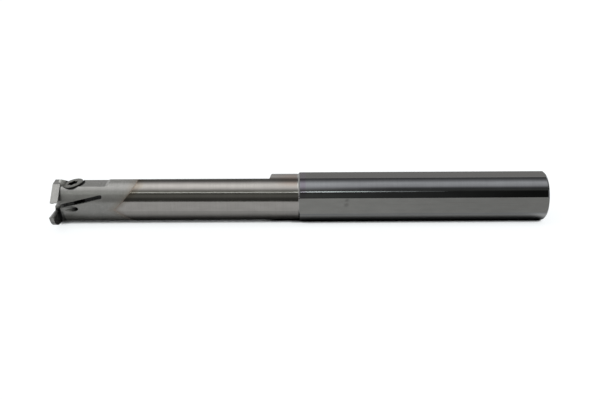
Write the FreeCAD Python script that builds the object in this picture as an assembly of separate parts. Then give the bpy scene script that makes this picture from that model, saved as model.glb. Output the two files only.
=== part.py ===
import FreeCAD, Part

import math
import os

from FreeCAD import Vector

# Internal grooving bar: a solid carbide bar with a steel clamping head brazed to its front end.
# Millimetres. The origin is the centre of the bar's rear face and X runs along its axis, so the
# head lies towards -X. The cutting side faces -Y and +Z is up.
#
# Places are given by a station, the distance back from the head's front face, by "out", the
# distance from the axis towards the cutting side, and by "up".

# Bar
bar_length = 200.0
shank_diameter = 20.0
shank_length = 100.5
flats_height = 19.0
side_flat_reach = 9.4
rear_chamfer = 0.7
neck_diameter = 18.9
collar_length = 12.25

# Relief along the neck and head, turned to the neck's diameter about an axis set off towards
# the cutting side
relief_offset = 4.8
relief_ramp_angle = 70.0

# Brazed V joint
joint_station = 24.85
joint_half_angle = 45.0
joint_tilt = -7.3
seam_thickness = 0.2

# Coolant way
duct_diameter = 4.5
duct_front_station = 21.0
inlet_diameter = 8.0
inlet_depth = 14.0
inlet_chamfer = 0.5
outlet_diameter = 2.4
outlet_station = 7.3
outlet_direction = -4.6
outlet_slope = 25.0

# Screw flat on top of the jaw
flat_up = 7.5
flat_end_station = 20.7
flat_runout_radius = 2.0

# Slit that makes the jaw springy
slit_width = 1.65
slit_angle = 12.0
slit_start_station = 3.0
slit_start_up = 0.5
slit_end_station = 19.2

# Insert pocket, rising towards the tip: a ridge below and a ridge above locate the insert
pocket_length = 3.0
pocket_stop_out = 6.2
pocket_slope = 5.5
ridge_station = 0.9
seat_ridge_up = -2.2
insert_height = 4.45
ridge_rise = 0.3

# Clamp nose over the pocket
nose_top_up = 8.5
nose_back_out = 1.6
nose_shoulder_out = 5.3
nose_tip_out = 12.3
nose_tip_height = 0.45

# Support blade under the pocket
blade_thickness = 1.7
blade_tip_out = 15.85
blade_curve_out = 13.6
blade_curve_up = -5.2
blade_heel_out = 9.5
blade_heel_up = -7.6
blade_root_angle = -70.0

# Clamp screw, a low cylinder head screw of 5 mm thread
screw_station = 7.1
screw_out = 1.8
screw_stand = -0.05
screw_head_diameter = 8.5
screw_head_height = 3.65
screw_head_chamfer = 0.45
screw_thread_diameter = 5.0
screw_length = 10.0
screw_tip_chamfer = 0.6
socket_diameter = 4.5
socket_waist = 3.2
socket_depth = 2.2
counterbore_gap = 0.5
jaw_hole_gap = 0.25
thread_gap = 0.05
screw_hole_spare = 1.2

# Derived sizes
shank_radius = shank_diameter / 2
neck_radius = neck_diameter / 2
shank_station = bar_length - shank_length
relief_end_station = shank_station - collar_length
beyond = shank_diameter


def sine(degrees):
    return math.sin(math.radians(degrees))


def cosine(degrees):
    return math.cos(math.radians(degrees))


def tangent(degrees):
    return math.tan(math.radians(degrees))


def place(station, out, up):
    """Point at a station behind the head's front face."""
    return Vector(station - bar_length, -out, up)


def on_rim(radius, angle):
    """Out and up of a point on a circle about the axis, its angle counted up from the cutting side."""
    return radius * cosine(angle), radius * sine(angle)


def turned(profile, out=0.0, up=0.0):
    """Solid turned about a line along the bar from (station, radius) points."""
    points = [place(station, out, up + radius) for station, radius in profile]
    face = Part.Face(Part.makePolygon(points + points[:1]))
    return face.revolve(place(0, out, up), Vector(1, 0, 0), 360)


def cross_section(outline, start, end):
    """Solid along the bar from an outline of (out, up) points."""
    points = [place(start, out, up) for out, up in outline]
    face = Part.Face(Part.makePolygon(points + points[:1]))
    return face.extrude(Vector(end - start, 0, 0))


def side_view(outline, out_from, out_to):
    """Solid across the bar from an outline of (station, up) points."""
    points = [place(station, out_from, up) for station, up in outline]
    face = Part.Face(Part.makePolygon(points + points[:1]))
    return face.extrude(Vector(0, out_from - out_to, 0))


def relief_envelope():
    """Everything the relief leaves: an off-centre cylinder that ramps open at the collar."""
    wide = shank_radius + relief_offset
    ramp_length = (wide - neck_radius) / tangent(relief_ramp_angle)
    profile = [
        (-beyond, 0),
        (-beyond, neck_radius),
        (relief_end_station, neck_radius),
        (relief_end_station + ramp_length, wide),
        (bar_length + beyond, wide),
        (bar_length + beyond, 0),
    ]
    return turned(profile, relief_offset)


def joint_wedge(setback):
    """Everything behind the V joint, moved towards the head by a distance square to its faces."""
    tip = joint_station - setback / sine(joint_half_angle)
    back = tip + beyond / tangent(joint_half_angle)
    outline = [
        (tip, 0),
        (back, beyond),
        (bar_length + beyond, beyond),
        (bar_length + beyond, -beyond),
        (back, -beyond),
    ]
    wedge = side_view(outline, -beyond, beyond)
    wedge.rotate(place(0, 0, 0), Vector(1, 0, 0), -joint_tilt)
    return wedge


def neck_rod(start, end):
    """Round rod of the neck's diameter with the relief turned on its far side."""
    rod = turned([(start, 0), (start, neck_radius), (end, neck_radius), (end, 0)])
    return rod.common(relief_envelope())


def coolant_duct():
    """Duct along the axis from the head to the chamfered inlet in the rear face."""
    duct_radius = duct_diameter / 2
    inlet_radius = inlet_diameter / 2
    inlet_station = bar_length - inlet_depth
    profile = [
        (duct_front_station, 0),
        (duct_front_station, duct_radius),
        (inlet_station, duct_radius),
        (inlet_station, inlet_radius),
        (bar_length - inlet_chamfer, inlet_radius),
        (bar_length, inlet_radius + inlet_chamfer),
        (bar_length, 0),
    ]
    return turned(profile)


def coolant_outlet():
    """Slanting hole from the duct to a long mouth beside the pocket."""
    out, up = on_rim(neck_radius, outlet_direction)
    inward_out, inward_up = on_rim(-sine(outlet_slope), outlet_direction)
    inward = Vector(cosine(outlet_slope), -inward_out, inward_up)
    mouth = place(outlet_station, out, up)
    inner_reach = (neck_radius - duct_diameter / 4) / sine(outlet_slope)
    outer_reach = outlet_diameter / tangent(outlet_slope)
    start = mouth - inward * outer_reach
    return Part.makeCylinder(outlet_diameter / 2, inner_reach + outer_reach, start, inward)


def top_milling():
    """Everything above the nose and above the lower flat behind it, with the cutter's runout."""
    centre_up = flat_up + flat_runout_radius
    runout_end = flat_end_station + flat_runout_radius
    half = sine(45) * flat_runout_radius
    nose_front = place(-beyond, beyond, nose_top_up)
    nose_rear = place(pocket_length, beyond, nose_top_up)
    flat_start = place(pocket_length, beyond, flat_up)
    flat_end = place(flat_end_station, beyond, flat_up)
    arc_middle = place(flat_end_station + half, beyond, centre_up - half)
    arc_end = place(runout_end, beyond, centre_up)
    top_rear = place(runout_end, beyond, beyond)
    top_front = place(-beyond, beyond, beyond)
    edges = [
        Part.makeLine(nose_front, nose_rear),
        Part.makeLine(nose_rear, flat_start),
        Part.makeLine(flat_start, flat_end),
        Part.Arc(flat_end, arc_middle, arc_end).toShape(),
        Part.makeLine(arc_end, top_rear),
        Part.makeLine(top_rear, top_front),
        Part.makeLine(top_front, nose_front),
    ]
    return Part.Face(Part.Wire(edges)).extrude(Vector(0, 2 * beyond, 0))


def slit_up(station):
    """Height of the slit's middle at a station."""
    return slit_start_up + (station - slit_start_station) * tangent(slit_angle)


def slit():
    """Slit through the whole head, rising to a full round end."""
    half = slit_width / 2
    along = slit_end_station + beyond
    lean_station = half * sine(slit_angle)
    lean_up = half * cosine(slit_angle)
    front_up = slit_up(slit_end_station - along)
    outline = [
        (slit_end_station - along - lean_station, front_up + lean_up),
        (slit_end_station - lean_station, slit_up(slit_end_station) + lean_up),
        (slit_end_station + lean_station, slit_up(slit_end_station) - lean_up),
        (slit_end_station - along + lean_station, front_up - lean_up),
    ]
    slab = side_view(outline, beyond, -beyond)
    end_centre = place(slit_end_station, beyond, slit_up(slit_end_station))
    round_end = Part.makeCylinder(half, 2 * beyond, end_centre, Vector(0, 1, 0))
    return slab.fuse(round_end)


def seat_up(out):
    """Height of the seat's ridge, which is named where the pocket stops, at another place."""
    return seat_ridge_up + (out - pocket_stop_out) * tangent(pocket_slope)


def clamp_up(out):
    """Height of the nose's ridge over the seat's ridge."""
    return seat_up(out) + insert_height / cosine(pocket_slope)


def front_step():
    """Step back of the whole cutting side beside the pocket, so that only nose and blade reach out."""
    outline = [(-beyond, -beyond), (-beyond, beyond), (pocket_length, beyond), (pocket_length, -beyond)]
    return side_view(outline, pocket_stop_out, pocket_stop_out + beyond)


def insert_pocket():
    """Pocket open to the front and the cutting side, with a ridge along its floor and its roof."""
    half = blade_thickness / 2
    clamp_ridge_up = seat_ridge_up + insert_height
    floor_up = seat_ridge_up - ridge_rise
    roof_up = clamp_ridge_up + ridge_rise
    outline = [
        (-beyond, floor_up),
        (ridge_station - half, floor_up),
        (ridge_station, seat_ridge_up),
        (ridge_station + half, floor_up),
        (pocket_length, floor_up),
        (pocket_length, roof_up),
        (ridge_station + half, roof_up),
        (ridge_station, clamp_ridge_up),
        (ridge_station - half, roof_up),
        (-beyond, roof_up),
    ]
    pocket = side_view(outline, pocket_stop_out, pocket_stop_out + beyond)
    pocket.rotate(place(0, pocket_stop_out, seat_ridge_up), Vector(1, 0, 0), -pocket_slope)
    return pocket


def clamp_nose():
    """Nose of the jaw that reaches out over the insert and ends in a slanting face."""
    underside_end = nose_tip_out - nose_tip_height / 2
    outline = [
        (nose_back_out, clamp_up(nose_back_out)),
        (nose_back_out, nose_top_up),
        (nose_shoulder_out, nose_top_up),
        (nose_tip_out, clamp_up(nose_tip_out) + nose_tip_height),
        (underside_end, clamp_up(underside_end)),
    ]
    return cross_section(outline, 0, pocket_length)


def support_blade():
    """Thin blade that carries the insert, its end rounded to clear the bore being cut."""
    start = ridge_station - blade_thickness / 2
    root_out, root_up = on_rim(neck_radius, blade_root_angle)
    inner = place(start, root_out, seat_up(root_out))
    tip = place(start, blade_tip_out, seat_up(blade_tip_out))
    curve = place(start, blade_curve_out, blade_curve_up)
    heel = place(start, blade_heel_out, blade_heel_up)
    root = place(start, root_out, root_up)
    edges = [
        Part.makeLine(inner, tip),
        Part.Arc(tip, curve, heel).toShape(),
        Part.makeLine(heel, root),
        Part.makeLine(root, inner),
    ]
    return Part.Face(Part.Wire(edges)).extrude(Vector(blade_thickness, 0, 0))


# The screw stands square to the slit, so it leans towards the front.
screw_axis = Vector(-sine(slit_angle), 0, cosine(slit_angle))
screw_top = place(screw_station, screw_out, flat_up) + screw_axis * screw_stand
screw_seat = screw_top - screw_axis * screw_head_height
screw_turn = FreeCAD.Rotation(Vector(0, 0, 1), screw_axis)


def along_screw(profile):
    """Solid turned about the screw's axis from (height above the head's seat, radius) points."""
    points = [Vector(radius, 0, height) for height, radius in profile]
    face = Part.Face(Part.makePolygon(points + points[:1]))
    solid = face.revolve(Vector(0, 0, 0), Vector(0, 0, 1), 360)
    solid.Placement = FreeCAD.Placement(screw_seat, screw_turn)
    return solid


def screw_holes():
    """Counterbore and clearance hole in the jaw, and the thread's hole in the body below the slit."""
    slit_drop = (screw_seat.z - slit_up(screw_station)) / cosine(slit_angle)
    hole_depth = screw_length + screw_hole_spare
    bore_radius = screw_thread_diameter / 2
    jaw_radius = bore_radius + jaw_hole_gap
    head_radius = screw_head_diameter / 2 + counterbore_gap
    profile = [
        (-hole_depth - bore_radius * tangent(30), 0),
        (-hole_depth, bore_radius),
        (-slit_drop, bore_radius),
        (-slit_drop, jaw_radius),
        (0, jaw_radius),
        (0, head_radius),
        (beyond, head_radius),
        (beyond, 0),
    ]
    return along_screw(profile)


def six_lobe_socket():
    """Six-lobed recess for the driver: a round pocket with six rounded ribs left standing in it."""
    lobe_radius = socket_diameter / 2
    waist_radius = socket_waist / 2
    rib_radius = (lobe_radius - waist_radius) * 1.4
    recess = Part.makeCylinder(lobe_radius, socket_depth)
    for rib in range(6):
        angle = 60 * rib
        centre = Vector(cosine(angle), sine(angle), 0) * (waist_radius + rib_radius)
        recess = recess.cut(Part.makeCylinder(rib_radius, socket_depth, centre))
    bottom = screw_top - screw_axis * socket_depth
    recess.Placement = FreeCAD.Placement(bottom, screw_turn)
    return recess


def make_clamp_screw():
    thread_radius = screw_thread_diameter / 2 - thread_gap
    head_radius = screw_head_diameter / 2
    profile = [
        (-screw_length, 0),
        (-screw_length, thread_radius - screw_tip_chamfer),
        (-screw_length + screw_tip_chamfer, thread_radius),
        (0, thread_radius),
        (0, head_radius),
        (screw_head_height - screw_head_chamfer, head_radius),
        (screw_head_height, head_radius - screw_head_chamfer),
        (screw_head_height, 0),
    ]
    return along_screw(profile).cut(six_lobe_socket())


def make_cutting_head():
    rod = neck_rod(0, joint_station + neck_radius / tangent(joint_half_angle))
    head = rod.cut(front_step()).fuse([clamp_nose(), support_blade()])
    for cutter in (
        insert_pocket(),
        slit(),
        top_milling(),
        screw_holes(),
        coolant_duct(),
        coolant_outlet(),
        joint_wedge(seam_thickness),
    ):
        head = head.cut(cutter)
    return head.removeSplitter()


def make_braze_seam():
    layer = joint_wedge(seam_thickness).cut(joint_wedge(0))
    rod = neck_rod(joint_station - beyond, joint_station + beyond)
    return rod.common(layer).cut(coolant_duct())


def make_carbide_shank():
    shoulder = shank_radius - neck_radius
    profile = [
        (joint_station - 1, 0),
        (joint_station - 1, neck_radius),
        (shank_station - shoulder, neck_radius),
        (shank_station, shank_radius),
        (bar_length - rear_chamfer, shank_radius),
        (bar_length, shank_radius - rear_chamfer),
        (bar_length, 0),
    ]
    bar = turned(profile).common(relief_envelope()).common(joint_wedge(0))
    half_height = flats_height / 2
    across_flats = [
        (side_flat_reach, -half_height),
        (side_flat_reach, half_height),
        (-beyond, half_height),
        (-beyond, -half_height),
    ]
    bar = bar.common(cross_section(across_flats, 0, bar_length))
    return bar.cut(coolant_duct())


def export(shape, name):
    solid = shape.Solids[0] if len(shape.Solids) == 1 else shape
    print(name, "valid", solid.isValid(), "solids", len(shape.Solids), "volume", round(solid.Volume, 2))
    solid.exportStep("parts/" + name + ".step")


os.makedirs("parts", exist_ok=True)
export(make_cutting_head(), "cutting_head")
export(make_braze_seam(), "braze_seam")
export(make_carbide_shank(), "carbide_shank")
export(make_clamp_screw(), "clamp_screw")
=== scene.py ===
import math

import bpy
from mathutils import Matrix, Vector


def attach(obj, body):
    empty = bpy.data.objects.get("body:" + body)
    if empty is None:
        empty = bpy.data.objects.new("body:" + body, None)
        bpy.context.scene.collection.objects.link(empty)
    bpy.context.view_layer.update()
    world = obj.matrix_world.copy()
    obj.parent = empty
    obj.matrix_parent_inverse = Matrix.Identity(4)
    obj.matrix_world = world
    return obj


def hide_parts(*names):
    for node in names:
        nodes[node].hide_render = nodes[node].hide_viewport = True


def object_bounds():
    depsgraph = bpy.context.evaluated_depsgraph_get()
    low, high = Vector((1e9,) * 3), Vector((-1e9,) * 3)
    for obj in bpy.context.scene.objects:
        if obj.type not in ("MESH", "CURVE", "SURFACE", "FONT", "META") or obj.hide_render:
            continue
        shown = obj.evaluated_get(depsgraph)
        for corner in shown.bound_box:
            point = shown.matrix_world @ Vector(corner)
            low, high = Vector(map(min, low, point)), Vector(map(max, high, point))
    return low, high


# Round internal grooving bar: a carbide shank with a brazed steel head that clamps its insert
# by a springy jaw. Metres; the bar runs along X with its head at -X, and it cuts towards -Y.
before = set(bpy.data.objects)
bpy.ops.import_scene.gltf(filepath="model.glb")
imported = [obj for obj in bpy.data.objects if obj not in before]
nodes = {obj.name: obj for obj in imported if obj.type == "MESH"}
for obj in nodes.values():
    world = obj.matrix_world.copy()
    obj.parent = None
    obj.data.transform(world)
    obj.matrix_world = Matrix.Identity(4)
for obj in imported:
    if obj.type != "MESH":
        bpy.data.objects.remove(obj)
cad_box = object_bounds()
mm = 0.001

# Carbide shank
# One rod of cemented carbide. Its neck and collar are ground to a pale satin, the clamping
# length is ground darker and finer, and its flats are ground lengthwise.
head_front = -200 * mm
joint_tip = 24.85 * mm
joint_tilt = math.radians(-7.3)
shoulder = -100.8 * mm
side_flat_out = -9.4 * mm
low_edge_height = -4.9 * mm
ramp_station = -100.95 * mm
purple_station = -99.2 * mm
square_to_axis = 0.985
neck_carbide = (0.262, 0.25, 0.238, 1)
shank_carbide = (0.148, 0.152, 0.16, 1)
lit_side_flat_carbide = (0.178, 0.176, 0.168, 1)
shaded_top_flat_carbide = (0.1, 0.098, 0.093, 1)
highlight_carbide = (0.4, 0.4, 0.39, 1)
edge_carbide = (0.34, 0.34, 0.33, 1)
straw_carbide = (0.25, 0.205, 0.145, 1)
brown_carbide = (0.16, 0.138, 0.116, 1)
purple_carbide = (0.125, 0.1, 0.135, 1)
heated_collar = (0.24, 0.175, 0.14, 1)
white = (1, 1, 1, 1)


def new_finish(name, metallic=1.0):
    finish = bpy.data.materials.new(name)
    finish.use_nodes = True
    shader = finish.node_tree.nodes["Principled BSDF"]
    shader.inputs["Metallic"].default_value = metallic
    return finish, finish.node_tree, shader


def set_inputs(tree, node, inputs):
    for socket, value in inputs.items():
        if isinstance(value, bpy.types.NodeSocket):
            tree.links.new(value, node.inputs[socket])
        else:
            node.inputs[socket].default_value = value
    return node


def maths(tree, operation, first, second=0.0, third=0.0):
    node = tree.nodes.new("ShaderNodeMath")
    node.operation = operation
    return set_inputs(tree, node, {0: first, 1: second, 2: third}).outputs[0]


def product(tree, first, *others):
    for other in others:
        first = maths(tree, "MULTIPLY", first, other)
    return first


def distance(tree, value, centre):
    return maths(tree, "ABSOLUTE", maths(tree, "SUBTRACT", value, centre))


def fade(tree, value, start, end, low=0.0, high=1.0):
    node = tree.nodes.new("ShaderNodeMapRange")
    node.interpolation_type = "SMOOTHSTEP"
    return set_inputs(tree, node, {0: value, 1: start, 2: end, 3: low, 4: high}).outputs[0]


def tint(tree, share, colour, over):
    node = tree.nodes.new("ShaderNodeMix")
    node.data_type = "RGBA"
    return set_inputs(tree, node, {0: share, 6: over, 7: colour}).outputs[2]


def shade(tree, colour, level):
    node = tree.nodes.new("ShaderNodeMix")
    node.data_type = "RGBA"
    node.blend_type = "MULTIPLY"
    return set_inputs(tree, node, {0: 1.0, 6: colour, 7: level}).outputs[2]


def grain(tree, scale, detail=3.0):
    """Noise whose scale along X, Y and Z is given in grains a metre."""
    stretch = tree.nodes.new("ShaderNodeMapping")
    where = tree.nodes.new("ShaderNodeTexCoord").outputs["Object"]
    set_inputs(tree, stretch, {"Vector": where, "Scale": scale})
    noise = tree.nodes.new("ShaderNodeTexNoise")
    noise = set_inputs(tree, noise, {"Vector": stretch.outputs[0], "Scale": 1.0, "Detail": detail})
    return noise.outputs["Fac"]


def mottle(tree, colour, noise, darkest=0.95, lightest=1.04):
    return shade(tree, colour, fade(tree, noise, 0.3, 0.7, darkest, lightest))


def split(tree, vector):
    return set_inputs(tree, tree.nodes.new("ShaderNodeSeparateXYZ"), {0: vector}).outputs


def object_place(tree):
    return split(tree, tree.nodes.new("ShaderNodeTexCoord").outputs["Object"])


def facing(tree):
    return split(tree, tree.nodes.new("ShaderNodeNewGeometry").outputs["True Normal"])


def behind_joint(tree, x, y, z):
    """How far a place lies behind the V of the brazed joint, along the bar."""
    across = maths(tree, "MULTIPLY", y, math.sin(joint_tilt))
    height = maths(tree, "MULTIPLY_ADD", z, math.cos(joint_tilt), across)
    station = maths(tree, "SUBTRACT", x, head_front + joint_tip)
    return maths(tree, "SUBTRACT", station, maths(tree, "ABSOLUTE", height))


def break_up(tree, reach, depth):
    """A distance from the joint whose edge is uneven, because heat tints never end on a line."""
    uneven = maths(tree, "SUBTRACT", grain(tree, (420, 300, 300)), 0.5)
    return maths(tree, "MULTIPLY_ADD", uneven, depth, reach)


def rounded_edges(tree, radius):
    bevel = tree.nodes.new("ShaderNodeBevel")
    bevel.samples = 6
    return set_inputs(tree, bevel, {"Radius": radius}).outputs[0]


def edge_share(tree, rounded):
    """One where the rounded normal turns away from the face, so along the edges."""
    true = tree.nodes.new("ShaderNodeNewGeometry").outputs["True Normal"]
    node = tree.nodes.new("ShaderNodeVectorMath")
    node.operation = "DOT_PRODUCT"
    match = set_inputs(tree, node, {0: rounded, 1: true}).outputs["Value"]
    return fade(tree, match, 0.985, 0.90)


def bump(tree, height, strength, depth, normal):
    node = tree.nodes.new("ShaderNodeBump")
    inputs = {"Height": height, "Strength": strength, "Distance": depth, "Normal": normal}
    return set_inputs(tree, node, inputs).outputs[0]


def wear(node_name, finish):
    materials = nodes[node_name].data.materials
    materials.clear()
    materials.append(finish)


carbide, tree, shader = new_finish("ground_carbide")
x, y, z = object_place(tree)
normal_y, normal_z = facing(tree)[1:3]
on_shank = fade(tree, x, shoulder - 0.1 * mm, shoulder + 0.1 * mm)
on_level_flat = maths(tree, "GREATER_THAN", maths(tree, "ABSOLUTE", normal_z), square_to_axis)
on_side_flat = maths(tree, "LESS_THAN", normal_y, -square_to_axis)
on_flat = product(tree, maths(tree, "MAXIMUM", on_level_flat, on_side_flat), on_shank)
ring_lines = grain(tree, (5200, 60, 60))
length_lines = grain(tree, (45, 5200, 5200))
grind_lines = tint(tree, on_flat, length_lines, ring_lines)
cloud = grain(tree, (130, 420, 420), 4)
colour = tint(tree, on_shank, shank_carbide, neck_carbide)
# The shank's top and bottom flats get a darker colour than its round: painted shade.
colour = tint(tree, product(tree, on_level_flat, on_shank), shaded_top_flat_carbide, colour)
# The side flat gets a lighter colour, lighter still towards the shoulder: painted light.
colour = tint(tree, product(tree, on_side_flat, on_shank), lit_side_flat_carbide, colour)
lit_near_shoulder = fade(tree, x, -95 * mm, -15 * mm, 1.2, 1)
colour = shade(tree, colour, tint(tree, on_side_flat, lit_near_shoulder, white))
colour = mottle(tree, colour, cloud)
colour = shade(tree, colour, fade(tree, grind_lines, 0.25, 0.75, 0.95, 1.04))

# The brazing heat has left straw and brown beside the joint, purple behind the shoulder and a
# warm tint on top of the collar.
heat_reach = break_up(tree, behind_joint(tree, x, y, z), 3.5 * mm)
straw = product(tree, fade(tree, heat_reach, 4.6 * mm, 0.6 * mm, 0, 0.35), fade(tree, z, 1 * mm, 5 * mm))
colour = tint(tree, straw, straw_carbide, colour)
colour = tint(tree, fade(tree, heat_reach, 3.2 * mm, 0.3 * mm, 0, 0.5), brown_carbide, colour)
purple = fade(tree, distance(tree, x, purple_station), 1.8 * mm, 0.4 * mm, 0, 0.5)
purple = product(tree, purple, fade(tree, z, 2 * mm, 6 * mm), on_shank)
colour = tint(tree, purple, purple_carbide, colour)
on_collar = product(tree, fade(tree, x, -112 * mm, -104 * mm, 0, 0.45), fade(tree, x, -101 * mm, -102 * mm))
on_collar_top = product(tree, on_collar, fade(tree, z, 6.5 * mm, 8.5 * mm))
colour = tint(tree, on_collar_top, heated_collar, colour)

# The ramp up to the clamping length, most towards its top, and the lower edge of the side flat get a
# painted highlight.
ramp = fade(tree, distance(tree, x, ramp_station), 0.45 * mm, 0.3 * mm)
ramp = product(tree, ramp, fade(tree, z, 4 * mm, 6.5 * mm, 0.1, 0.75))
colour = tint(tree, ramp, highlight_carbide, colour)
low_edge_highlight = fade(tree, distance(tree, z, low_edge_height), 1.9 * mm, 0.4 * mm, 0, 0.6)
low_edge_highlight = product(tree, low_edge_highlight, fade(tree, normal_y, -0.65, -0.75), on_shank)
colour = tint(tree, low_edge_highlight, highlight_carbide, colour)

# Two faint oil spots on the side flat, as station along the bar, height and spread.
for station, height, spread in ((-81.9 * mm, 0.4 * mm, 1.5 * mm), (-81.6 * mm, 2.5 * mm, 1.2 * mm)):
    reach = tree.nodes.new("ShaderNodeVectorMath")
    reach.operation = "DISTANCE"
    place = tree.nodes.new("ShaderNodeTexCoord").outputs["Object"]
    set_inputs(tree, reach, {0: place, 1: (station, side_flat_out, height)})
    ragged = maths(tree, "MULTIPLY_ADD", grain(tree, (900, 900, 900)), spread, reach.outputs["Value"])
    colour = shade(tree, colour, fade(tree, ragged, 0.6 * spread, 1.5 * spread, 0.7, 1))

rounded = rounded_edges(tree, 0.12 * mm)
colour = tint(tree, product(tree, edge_share(tree, rounded), 0.35), edge_carbide, colour)
roughness = maths(tree, "MULTIPLY_ADD", on_shank, -0.05, 0.1)
roughness = maths(tree, "MULTIPLY_ADD", on_flat, 0.15, roughness)
roughness = maths(tree, "ADD", roughness, fade(tree, cloud, 0.35, 0.75, 0, 0.04))
grooves = bump(tree, grind_lines, 0.12, 0.006 * mm, rounded)
set_inputs(tree, shader, {"Base Color": colour, "Roughness": roughness, "Normal": grooves})
wear("carbide_shank", carbide)

# Brazed joint
# A thin V of copper filler that was drawn in between head and shank and ground flush.
pale_copper = (0.3, 0.24, 0.195, 1)
dull_copper = (0.235, 0.19, 0.155, 1)

braze, tree, shader = new_finish("copper_braze")
speckle = grain(tree, (1800, 1800, 1800))
colour = tint(tree, fade(tree, speckle, 0.35, 0.65), pale_copper, dull_copper)
roughness = fade(tree, speckle, 0.3, 0.7, 0.28, 0.42)
pits = bump(tree, speckle, 0.3, 0.02 * mm, rounded_edges(tree, 0.05 * mm))
set_inputs(tree, shader, {"Base Color": colour, "Roughness": roughness, "Normal": pits})
wear("braze_seam", braze)

# Cutting head
# Hardened tool steel, turned with the neck, then milled: the jaw is cut free by the slit, and
# the blade under the pocket is thin to reach into the groove. Its skin is a satin grey.
head_grey = (0.37, 0.367, 0.352, 1)
shaded_flat_grey = (0.185, 0.183, 0.172, 1)
edge_grey = (0.42, 0.415, 0.39, 1)
straw_steel = (0.33, 0.285, 0.235, 1)
lit_wall_grey = (0.8, 0.8, 0.76, 1)
black_painted_shade = (0.012, 0.012, 0.011, 1)
flat_height = 7.5 * mm
blade_back = -195.5 * mm
blade_tip = -15.2 * mm
blade_top = -1 * mm
counterbore_radius = 4.95 * mm
screw_station = 7.1 * mm
screw_out = -1.8 * mm
screw_top = Vector((head_front + screw_station, screw_out, flat_height))
screw_lean = math.radians(12)


def screw_place(tree):
    """Place seen from the screw's top: two ways across it and the height along its axis."""
    node = tree.nodes.new("ShaderNodeMapping")
    node.vector_type = "TEXTURE"
    place = tree.nodes.new("ShaderNodeTexCoord").outputs["Object"]
    set_inputs(tree, node, {"Vector": place, "Location": screw_top, "Rotation": (0, -screw_lean, 0)})
    return split(tree, node.outputs[0])


satin, tree, shader = new_finish("satin_tool_steel", 0.36)
x, y, z = object_place(tree)
level_face = maths(tree, "GREATER_THAN", facing(tree)["Z"], square_to_axis)
on_top_flat = product(tree, level_face, maths(tree, "GREATER_THAN", z, flat_height - 0.2 * mm))
blasted = grain(tree, (4200, 4200, 4200))
turned = grain(tree, (3600, 70, 70), 2)
feed_lines = grain(tree, (3300, 120, 120), 2)
cloud = grain(tree, (260, 420, 420), 4)
# The head's top flat gets a darker colour than the rest of the head: painted shade.
colour = tint(tree, on_top_flat, shaded_flat_grey, head_grey)
colour = mottle(tree, colour, cloud)
colour = mottle(tree, colour, blasted)
colour = mottle(tree, colour, turned, 0.96, 1.03)
before_joint = maths(tree, "MULTIPLY", behind_joint(tree, x, y, z), -1)
heat_reach = break_up(tree, before_joint, 2.5 * mm)
colour = tint(tree, fade(tree, heat_reach, 4 * mm, 0.4 * mm, 0, 0.5), straw_steel, colour)
rounded = rounded_edges(tree, 0.15 * mm)
colour = tint(tree, product(tree, edge_share(tree, rounded), 0.45), edge_grey, colour)

# The blade is painted darker than the rest of the head, except along its outer end: painted shade.
blade_shade_share = product(
    tree,
    fade(tree, x, blade_back, blade_back - 1 * mm),
    fade(tree, y, blade_tip, blade_tip + 1 * mm),
    fade(tree, z, blade_top, blade_top - 1.5 * mm),
)
colour = shade(tree, colour, fade(tree, blade_shade_share, 0, 1, 1, 0.35))

# Slit, holes and counterbore get painted shade inside, where they are closed in. Black painted shade goes
# over the counterbore's rim and into it, except on its wall towards the nose, which gets a painted
# highlight.
recess_shade = tree.nodes.new("ShaderNodeAmbientOcclusion")
recess_shade.only_local = True
recess_shade.samples = 16
set_inputs(tree, recess_shade, {"Distance": 2.5 * mm})
colour = shade(tree, colour, fade(tree, recess_shade.outputs["AO"], 0.45, 0.85, 0.06, 1))
along, across, height = screw_place(tree)
reach = maths(tree, "ADD", maths(tree, "POWER", along, 2), maths(tree, "POWER", across, 2))
at_bore = fade(tree, maths(tree, "SQRT", reach), counterbore_radius + 0.15 * mm, counterbore_radius)
# A painted highlight on the counterbore's wall towards the nose.
lit_wall = product(
    tree,
    fade(tree, along, -3 * mm, -3.9 * mm),
    fade(tree, across, -2.6 * mm, -1.6 * mm),
)
colour = tint(tree, product(tree, at_bore, lit_wall), lit_wall_grey, colour)
# Black painted shade over the counterbore's rim and down into it.
rim_painted_shade = product(tree, at_bore, maths(tree, "SUBTRACT", 1, lit_wall))
rim_painted_shade = product(tree, rim_painted_shade, fade(tree, height, -5 * mm, -4 * mm, 0, 0.92))
colour = tint(tree, rim_painted_shade, black_painted_shade, colour)

roughness = fade(tree, blasted, 0.3, 0.7, 0.22, 0.28)
skin = bump(tree, blasted, 0.12, 0.01 * mm, rounded)
skin = bump(tree, tint(tree, on_top_flat, feed_lines, turned), 0.12, 0.01 * mm, skin)
set_inputs(tree, shader, {"Base Color": colour, "Roughness": roughness, "Normal": skin})
wear("cutting_head", satin)

# Clamp screw
# A low cylinder head screw with a rolled thread and a forged six-lobed socket. It is blackened,
# and its top is rubbed back to grey. It stands square to the slit.
screw_around = 96
screw_head_radius = 4.25 * mm
screw_head_height = 3.65 * mm
screw_sunk = 0.05 * mm
screw_length = 10 * mm
screw_tip_chamfer = 0.6 * mm
thread_radius = 2.45 * mm
thread_depth = 0.45 * mm
thread_pitch = 0.8 * mm
thread_end = -0.5 * mm
rings_a_pitch = 8
socket_radius = 1.97 * mm
socket_lobe = 0.33 * mm
socket_depth = 2.2 * mm
socket_point = 0.25 * mm
black_oxide = (0.028, 0.028, 0.026, 1)
rubbed_steel = (0.2, 0.2, 0.185, 1)


def thread_reach(angle, height):
    """Radius of the thread at a height over the head's seat: a ridge that winds up the shank."""
    turn = height / thread_pitch - angle / (2 * math.pi)
    ridge = abs(2 * (turn % 1) - 1)
    reach = thread_radius - thread_depth * min(1, 1.2 * ridge)
    tip_cone = thread_radius - screw_tip_chamfer + height + screw_length
    return min(reach, tip_cone)


def socket_reach(angle):
    return socket_radius - socket_lobe * math.cos(6 * angle)


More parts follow.
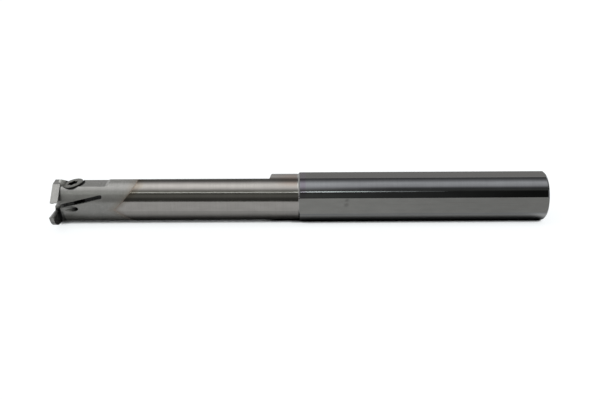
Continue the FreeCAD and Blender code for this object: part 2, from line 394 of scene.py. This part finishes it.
# The screw is a stack of rings from its tip over thread and head down to the socket's floor.
angles = [2 * math.pi * step / screw_around for step in range(screw_around)]
thread_length = screw_length + thread_end
ring_count = round(thread_length / thread_pitch * rings_a_pitch)
rings = []
for ring in range(ring_count + 1):
    height = -screw_length + thread_length * ring / ring_count
    rings.append([(thread_reach(angle, height), height) for angle in angles])
head_profile = (
    (thread_radius - 0.25 * mm, -0.3 * mm),
    (thread_radius - 0.15 * mm, -0.08 * mm),
    (thread_radius, 0),
    (screw_head_radius - 0.15 * mm, 0),
    (screw_head_radius, 0.15 * mm),
    (screw_head_radius, screw_head_height - 0.26 * mm),
    (screw_head_radius - 0.05 * mm, screw_head_height - 0.12 * mm),
    (screw_head_radius - 0.14 * mm, screw_head_height - 0.03 * mm),
    (screw_head_radius - 0.26 * mm, screw_head_height),
    (screw_head_radius - 1.1 * mm, screw_head_height),
)
rings += [[point] * screw_around for point in head_profile]
socket_profile = (
    (0.14 * mm, 0),
    (0.02 * mm, 0.1 * mm),
    (0, 0.2 * mm),
    (0, 1.9 * mm),
    (-0.25 * mm, 2.1 * mm),
    (-1.2 * mm, 2.3 * mm),
)
for widening, drop in socket_profile:
    rings.append([(socket_reach(angle) + widening, screw_head_height - drop) for angle in angles])

corners = [(0, 0, -screw_length)]
for ring in rings:
    for angle, (radius, height) in zip(angles, ring):
        corners.append((radius * math.cos(angle), radius * math.sin(angle), height))
corners.append((0, 0, screw_head_height - socket_depth - socket_point))
last_corner = len(corners) - 1
last_ring = last_corner - screw_around
faces = []
for step in range(screw_around):
    following = (step + 1) % screw_around
    faces.append((0, 1 + following, 1 + step))
    for low in range(1, last_ring, screw_around):
        high = low + screw_around
        faces.append((low + step, low + following, high + following, high + step))
    faces.append((last_corner, last_ring + step, last_ring + following))
screw_mesh = bpy.data.meshes.new("detailed_screw")
screw_mesh.from_pydata(corners, [], faces)
lean = Matrix.Rotation(-screw_lean, 4, "Y")
screw_seat = screw_top - lean @ Vector((0, 0, screw_head_height + screw_sunk))
screw_mesh.transform(Matrix.Translation(screw_seat) @ lean)
screw_mesh.shade_smooth()
screw_mesh.set_sharp_from_angle(angle=math.radians(35))
screw = bpy.data.objects.new("detailed_screw", screw_mesh)
bpy.context.scene.collection.objects.link(screw)

blackened, tree, shader = new_finish("blackened_steel")
speckle = grain(tree, (3000, 3000, 3000))
rub = fade(tree, screw_place(tree)["Z"], -0.4 * mm, -0.12 * mm)
rub = product(tree, rub, fade(tree, speckle, 0.3, 0.55, 0.75, 1))
colour = tint(tree, rub, rubbed_steel, black_oxide)
colour = mottle(tree, colour, speckle, 0.9, 1.06)
roughness = fade(tree, speckle, 0.3, 0.7, 0.3, 0.42)
skin = bump(tree, speckle, 0.2, 0.01 * mm, rounded_edges(tree, 0.06 * mm))
set_inputs(tree, shader, {"Base Color": colour, "Roughness": roughness, "Normal": skin})
screw_mesh.materials.append(blackened)
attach(screw, "screw")
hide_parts("clamp_screw")

# Table
# A plain pale table top, wide enough to fill every view, that keeps the bar's soft shadow from the lamps,
# deepened by painted shadow where the bar stands close over it, also as it is seen in the bar.
table_half = 4.0
table_height = cad_box[0].z
table_grey = (0.3, 0.3, 0.3, 1)
table_glow = (0.975, 1.0, 1.01, 1)
table_mesh = bpy.data.meshes.new("table")
table_mesh.from_pydata(
    [(x * table_half, y * table_half, table_height) for x, y in ((-1, -1), (1, -1), (1, 1), (-1, 1))],
    [],
    [(0, 1, 2, 3)],
)
table = bpy.data.objects.new("table", table_mesh)
bpy.context.scene.collection.objects.link(table)
table_finish = bpy.data.materials.new("pale_table")
table_finish.use_nodes = True
tree = table_finish.node_tree
tree.nodes.clear()


def unshaded_share(tree, gap, closed, clear):
    """Zero in the painted shadow where the bar stands closer over the table than a gap, one where it is
    clear.
    """
    node = tree.nodes.new("ShaderNodeAmbientOcclusion")
    node.samples = 16
    open_part = set_inputs(tree, node, {"Distance": gap}).outputs["AO"]
    return fade(tree, open_part, closed, clear)


path = tree.nodes.new("ShaderNodeLightPath")
near_unshaded = unshaded_share(tree, 4 * mm, 0.13, 0.33)
wide_unshaded = unshaded_share(tree, 14 * mm, 0.36, 0.72)
seen_glow = product(tree, near_unshaded, path.outputs["Is Camera Ray"], 0.85)
mirrored_glow = product(tree, wide_unshaded, path.outputs["Is Glossy Ray"], 0.6)
glow_level = maths(tree, "ADD", seen_glow, mirrored_glow)
glow = tree.nodes.new("ShaderNodeEmission")
set_inputs(tree, glow, {"Color": table_glow, "Strength": glow_level})
paint = tree.nodes.new("ShaderNodeBsdfDiffuse")
set_inputs(tree, paint, {"Color": shade(tree, near_unshaded, table_grey)})
both = set_inputs(tree, tree.nodes.new("ShaderNodeAddShader"), {0: paint.outputs[0], 1: glow.outputs[0]})
set_inputs(tree, tree.nodes.new("ShaderNodeOutputMaterial"), {"Surface": both.outputs[0]})
table_mesh.materials.append(table_finish)

# Studio light
# A long soft box overhead and a pale backdrop are painted into the room by their angle about
# the bar, counted up from the front. The room is darker at the bar's rear. One lamp is a strip.
left_levels = (
    (0, 0.14),
    (8, 0.09),
    (13, 0.09),
    (18, 0.13),
    (24, 0.24),
    (33, 0.24),
    (38, 0.14),
    (43, 0.18),
    (47, 0.3),
    (54, 0.47),
    (59, 0.74),
    (64, 1.2),
    (69, 1.6),
    (75, 1.9),
    (83, 2.05),
    (91, 1.72),
    (98, 1.1),
    (104, 0.58),
    (110, 0.28),
    (116, 0.2),
    (122, 0.26),
    (128, 0.42),
    (134, 0.68),
    (142, 0.92),
    (152, 0.88),
    (160, 0.74),
    (172, 0.5),
)
right_levels = (
    (0, 0.06),
    (13, 0.06),
    (24, 0.11),
    (33, 0.11),
    (40, 0.1),
    (47, 0.12),
    (52, 0.19),
    (57, 0.16),
    (61, 0.22),
    (64.5, 0.42),
    (67, 0.75),
    (70, 1.08),
    (74, 1.35),
    (80, 1.5),
    (86, 1.62),
    (91, 1.5),
    (98, 0.95),
    (104, 0.55),
    (109, 0.32),
    (114, 0.14),
    (120, 0.16),
    (128, 0.4),
    (134, 0.68),
    (142, 0.92),
    (152, 0.88),
    (160, 0.74),
    (172, 0.5),
)
front_hue = (1, 1.02, 0.94, 1)
head_side = (0.62, 0.62, 0.62, 1)
rear_side = (0.16, 0.16, 0.16, 1)


def room_ramp(tree, turn, levels):
    ramp = tree.nodes.new("ShaderNodeValToRGB")
    set_inputs(tree, ramp, {"Fac": maths(tree, "DIVIDE", turn, math.pi)})
    stops = ramp.color_ramp.elements
    while len(stops) < len(levels):
        stops.new(0.5)
    for stop, (angle, level) in zip(stops, levels):
        stop.position = angle / 180
        stop.color = (level, level, level, 1)
    return ramp.outputs["Color"]


room = bpy.data.worlds.new("room")
bpy.context.scene.world = room
room.use_nodes = True
tree = room.node_tree
way_x, way_y, way_z = split(tree, tree.nodes.new("ShaderNodeTexCoord").outputs["Generated"])
turn = maths(tree, "ARCTAN2", way_z, maths(tree, "MULTIPLY", way_y, -1))
right_dim = fade(tree, way_x, 0.1, 0.28, 1, 0.3)
right_dim = tint(tree, fade(tree, turn, math.radians(51), math.radians(45)), right_dim, white)
right_room = shade(tree, room_ramp(tree, turn, right_levels), right_dim)
left_room = room_ramp(tree, turn, left_levels)
colour = tint(tree, fade(tree, way_x, -0.04, 0.13), right_room, left_room)
low_front = fade(tree, turn, math.radians(62), math.radians(50))
colour = shade(tree, colour, tint(tree, low_front, front_hue, white))
colour = tint(tree, fade(tree, way_x, -0.65, -0.9), head_side, colour)
colour = tint(tree, fade(tree, way_x, 0.65, 0.9), rear_side, colour)
path = tree.nodes.new("ShaderNodeLightPath")
colour = tint(tree, path.outputs["Is Camera Ray"], white, colour)
set_inputs(tree, tree.nodes["Background"], {"Color": colour})

# The strip lamp in front is a row of parts, each with its start, its end and its radiance.
strip_angle = math.radians(45.5)
strip_distance = 0.6
strip_width = 0.026
strip_colour = (0.93, 1.0, 0.95)
strip_parts = (
    (-0.52, -0.105, 2.2),
    (-0.1, -0.055, 6.4),
    (-0.055, -0.025, 4.2),
    (-0.025, 0.0, 2.2),
    (0.0, 0.03, 1.1),
    (0.03, 0.06, 0.4),
)
towards = Vector((0, -math.cos(strip_angle), math.sin(strip_angle)))
level_right = Vector((1, 0, 0))
strip_turn = Matrix((level_right, towards.cross(level_right), towards)).transposed().to_quaternion()
for start, end, radiance in strip_parts:
    strip_lamp = bpy.data.lights.new("front_strip", "AREA")
    strip_lamp.shape = "RECTANGLE"
    strip_lamp.size = end - start
    strip_lamp.size_y = strip_width
    strip_lamp.color = strip_colour
    strip_lamp.energy = radiance * math.pi * strip_lamp.size * strip_width
    strip = bpy.data.objects.new("front_strip", strip_lamp)
    bpy.context.scene.collection.objects.link(strip)
    strip.location = Vector(((start + end) / 2, 0, 0)) + towards * strip_distance
    strip.rotation_mode = "QUATERNION"
    strip.rotation_quaternion = strip_turn

# Camera
# A 50 mm lens at the photograph's angle, a little above the bar and square to it.
camera_elevation = math.radians(25.04)
camera_distance = 0.344
camera_roll = math.radians(-0.289)
bar_middle = Vector((-0.1, 0, 0))
aim_left = 0.396 * mm
aim_down = 1.456 * mm
lens = bpy.data.cameras.new("camera")
lens.lens = 50
lens.sensor_width = 36
lens.clip_start = 0.01
lens.clip_end = 20
camera = bpy.data.objects.new("camera", lens)
bpy.context.scene.collection.objects.link(camera)
bpy.context.scene.camera = camera
back = Vector((0, -math.cos(camera_elevation), math.sin(camera_elevation)))
level_up = back.cross(level_right)
right = level_right * math.cos(camera_roll) + level_up * math.sin(camera_roll)
up = level_up * math.cos(camera_roll) - level_right * math.sin(camera_roll)
aim = bar_middle - aim_left * level_right - aim_down * level_up
camera_turn = Matrix((right, up, back)).transposed().to_4x4()
camera.matrix_world = Matrix.Translation(aim + back * camera_distance) @ camera_turn

bpy.context.scene.view_settings.view_transform = "Standard"
